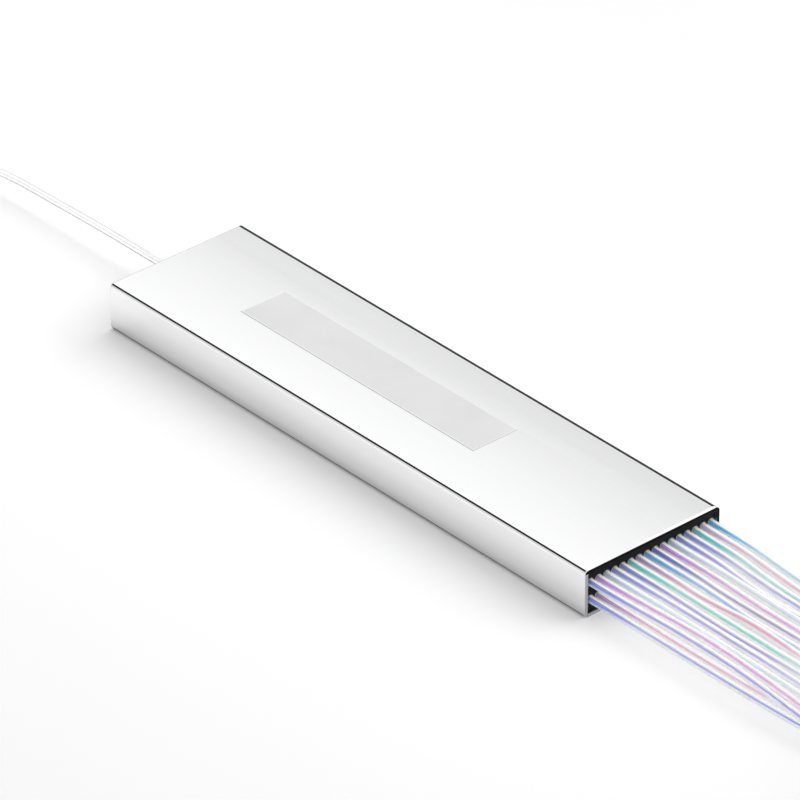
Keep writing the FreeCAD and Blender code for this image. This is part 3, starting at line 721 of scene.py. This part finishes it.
def make_output_cords(sleeves, coatings):
    """The 32 sleeves and their fibres. Only the lower row casts shadows, from its fibres and every
    second sleeve, so that the cords stay as bright as in the photograph."""
    rows = [LOWER_ROW_COLOURS, UPPER_ROW_COLOURS]
    for row, colours in enumerate(rows):
        for column in range(COLUMNS):
            number = row * COLUMNS + column + 1
            points = output_points(column, row)
            tube = make_curve("loose_tube_%02d" % number, points, TUBE, SLEEVE_SIDES)
            tube.data.materials.append(sleeves[colours[column]])
            width = FIBRE_WIDTHS[column]
            fibre = make_curve("fibre_%02d" % number, points, FIBRE * width, FIBRE_SIDES,
                               FIBRE_FLARE / width)
            fibre.data.materials.append(coatings[colours[column]])
            tube.visible_shadow = row == 0 and column % 2 == 0
            fibre.visible_shadow = row == 0
            for piece in (tube, fibre):
                piece.visible_diffuse = False
                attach(piece, "root")
            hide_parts("output_tube_%02d" % number)
            if number == 1:
                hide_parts("output_coil")
            with_pieces = [fibre]
            if number == 1:
                with_pieces += ["output_tie_1", "output_tie_2"]


BEAD_RADIUS = 0.47 * MM
BEAD_THICKNESS = 0.045 * MM
BEAD_SIDES = 20
BEAD_CORNERS = 8
BEAD_UNEVEN = 0.2


def make_exit_beads(finish):
    """A small bead of clear adhesive round each tube, on the faces of the two blocks."""
    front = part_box("output_end_block")[1][0]
    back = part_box("input_end_block")[0][0]
    exits = [(front, (column - (COLUMNS - 1) / 2) * COLUMN_PITCH, LOWER_ROW + row * ROW_GAP)
             for row in range(2) for column in range(COLUMNS)]
    exits.append((back, 0.0, INPUT_ROUTE[0][2] * MM))
    shape = bmesh.new()
    for centre in exits:
        rings = []
        for side in range(BEAD_SIDES):
            around = 2 * math.pi * side / BEAD_SIDES
            thickness = BEAD_THICKNESS * (1 + rng.uniform(-BEAD_UNEVEN, BEAD_UNEVEN))
            ring = []
            for corner in range(BEAD_CORNERS):
                angle = 2 * math.pi * corner / BEAD_CORNERS
                radius = BEAD_RADIUS + thickness * math.cos(angle)
                offset = Vector((thickness * math.sin(angle), radius * math.cos(around),
                                 radius * math.sin(around)))
                ring.append(shape.verts.new(Vector(centre) + offset))
            rings.append(ring)
        for side in range(BEAD_SIDES):
            ring, after = rings[side], rings[(side + 1) % BEAD_SIDES]
            for corner in range(BEAD_CORNERS):
                other = (corner + 1) % BEAD_CORNERS
                shape.faces.new((ring[corner], after[corner], after[other], ring[other]))
    bmesh.ops.recalc_face_normals(shape, faces=shape.faces)
    mesh = bpy.data.meshes.new("exit_beads")
    shape.to_mesh(mesh)
    shape.free()
    for face in mesh.polygons:
        face.use_smooth = True
    beads = bpy.data.objects.new("exit_beads", mesh)
    bpy.context.collection.objects.link(beads)
    mesh.materials.append(finish)
    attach(beads, "root")


def make_input_cord(sleeve, coating):
    points = input_points()
    tube = make_curve("loose_tube_in", points, TUBE, INPUT_SLEEVE_SIDES)
    tube.data.materials.append(sleeve)
    fibre = make_curve("fibre_in", points, INPUT_FIBRE_WIDTH * FIBRE, FIBRE_SIDES)
    fibre.data.materials.append(coating)
    for piece in (tube, fibre):
        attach(piece, "root")
    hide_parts("input_tube", "input_coil")


# ---------------------------------------------------------------- stage

FLOOR_HALF = 3.0
FLOOR_COLOUR = (0.86, 0.86, 0.86, 1)
FLOOR_ROUGHNESS = 0.9
FLOOR_SPECULAR = 0.1
FLOOR_GLOW = 0.12
WORLD_LIGHT = 0.62
SKY_GREY = 0.73
# Where the greyer sky overhead begins and ends in reflections, as heights on a ball of radius 1.
SKY_TURN = (0.05, 0.45)
# Soft lamps that light the floor and the cords, out of the metal's reflections: name, place, width,
# height and power. The low one behind gives the wide soft shadow on the near side.
SOFT_LIGHTS = [
    ("overhead", (-0.12, 0.45, 0.80), 0.8, 0.6, 1.9),
    ("behind", (0.20, 0.57, 0.38), 0.8, 0.35, 2.1),
]
# The strip lamp stands over the far edge, so that the top face shades from its near edge to its far one.
STRIP_EDGE = (-0.046, 0.044, 0.046)
STRIP_UP = (0.0, -0.674, 0.739)
STRIP_LENGTH = 0.30
STRIP_HEIGHT = 0.05
STRIP_POWER = 0.027


def make_floor():
    """A pale floor that keeps shadows, and glows a little for the rays that only look at it."""
    mesh = bpy.data.meshes.new("floor")
    far = FLOOR_HALF
    mesh.from_pydata([(-far, -far, 0), (far, -far, 0), (far, far, 0), (-far, far, 0)], [], [(0, 1, 2, 3)])
    floor = bpy.data.objects.new("floor", mesh)
    bpy.context.collection.objects.link(floor)
    material, graph, shader = new_material("floor_white")
    shader.inputs["Base Color"].default_value = FLOOR_COLOUR
    shader.inputs["Roughness"].default_value = FLOOR_ROUGHNESS
    shader.inputs["Specular IOR Level"].default_value = FLOOR_SPECULAR
    path = graph.nodes.new("ShaderNodeLightPath")
    seen = graph.any_of(path.outputs["Is Camera Ray"], path.outputs["Is Glossy Ray"],
                        path.outputs["Is Transmission Ray"])
    glow = graph.nodes.new("ShaderNodeEmission")
    glow.inputs["Color"].default_value = (1, 1, 1, 1)
    graph.link(graph.remap(seen, 0.0, FLOOR_GLOW), glow.inputs["Strength"])
    both = graph.nodes.new("ShaderNodeAddShader")
    graph.link(shader.outputs["BSDF"], both.inputs[0])
    graph.link(glow.outputs["Emission"], both.inputs[1])
    graph.link(both.outputs["Shader"], graph.nodes["Material Output"].inputs["Surface"])
    mesh.materials.append(material)


def add_area_light(name, place, target, width, height, power):
    data = bpy.data.lights.new(name, "AREA")
    data.shape = "RECTANGLE"
    data.size = width
    data.size_y = height
    data.energy = power
    light = bpy.data.objects.new(name, data)
    bpy.context.collection.objects.link(light)
    light.location = place
    light.rotation_mode = "QUATERNION"
    light.rotation_quaternion = (Vector(target) - Vector(place)).to_track_quat("-Z", "Y")
    light.visible_camera = False
    return light


def make_world():
    """White to look at; in reflections, white at the horizon and greyer overhead."""
    world = bpy.data.worlds.new("studio")
    bpy.context.scene.world = world
    world.use_nodes = True
    graph = Graph(world.node_tree)
    background = graph.nodes["Background"]
    background.inputs["Color"].default_value = (1, 1, 1, 1)
    place = graph.nodes.new("ShaderNodeTexCoord")
    split = graph.nodes.new("ShaderNodeSeparateXYZ")
    graph.link(place.outputs["Generated"], split.inputs["Vector"])
    overhead = graph.remap(split.outputs["Z"], 1.0, SKY_GREY, *SKY_TURN, smooth=True)
    path = graph.nodes.new("ShaderNodeLightPath")
    mirrored = graph.any_of(path.outputs["Is Glossy Ray"], path.outputs["Is Transmission Ray"])
    strength = graph.nodes.new("ShaderNodeMix")
    strength.inputs[2].default_value = WORLD_LIGHT
    graph.link(mirrored, strength.inputs[0])
    graph.link(overhead, strength.inputs[3])
    seen = graph.any_of(strength.outputs[0], path.outputs["Is Camera Ray"])
    graph.link(seen, background.inputs["Strength"])


def make_lights():
    for name, place, width, height, power in SOFT_LIGHTS:
        soft = add_area_light(name, place, (0.0, 0.0, 0.0), width, height, power)
        soft.visible_glossy = False
    strip_place = Vector(STRIP_EDGE) + Vector(STRIP_UP) * STRIP_HEIGHT / 2
    strip_facing = Vector((0.0, -STRIP_UP[2], STRIP_UP[1]))
    add_area_light("strip", strip_place, strip_place + strip_facing, STRIP_LENGTH, STRIP_HEIGHT,
                   STRIP_POWER)


# ---------------------------------------------------------------- carried-over CAD nodes

def paint(material, *names):
    """Give CAD nodes' objects a new material in every slot."""
    for name in names:
        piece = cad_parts[name]
        piece.data.materials.clear()
        piece.data.materials.append(material)


# ---------------------------------------------------------------- the scene

def make_materials():
    """The sleeves' and the coatings' materials, by the name of the fibre's colour."""
    sleeves = {}
    coatings = {}
    for name, (deep, pale) in COLOURS.items():
        sleeves[name] = sleeve_material("tube_" + name, tinted(deep, NEAR_TINT), tinted(pale, FAR_TINT),
                                        **OUTPUT_SLEEVE)
        coatings[name] = fibre_material("coating_" + name, deep, pale)
    return sleeves, coatings


def paint_inside(coatings):
    """The device, the arrays and the ribbons, which the housing hides."""
    paint(plain_material("silicone_bed"), "device_bed")
    paint(plain_material("array_glass"), "input_array_block", "output_array_block", "input_array_lid",
          "output_array_lid", "chip_lid_input", "chip_lid_output")
    paint(plain_material("chip_silica"), "plc_chip")
    paint(coatings["azure"], "fibre_ribbon_1", "fibre_ribbon_2", "fibre_ribbon_3", "fibre_ribbon_4",
          "input_fibre")


make_camera()
sleeves, coatings = make_materials()
make_output_cords(sleeves, coatings)
make_input_cord(sleeve_material("tube_in", INPUT_OUTLINE_SHADE, INPUT_OUTLINE_SHADE, **INPUT_SLEEVE),
                fibre_material("coating_clear", CLEAR, CLEAR))
make_exit_beads(plain_material("adhesive"))

paint(housing_material(), "housing")
paint(block_material(), "output_end_block", "input_end_block")
paint(label_material(), "label_film")
paint(plain_material("strap_white"), "output_tie_1", "output_tie_2", "input_tie")
paint_inside(coatings)

make_floor()
make_world()
make_lights()
bpy.context.scene.view_settings.view_transform = "Standard"
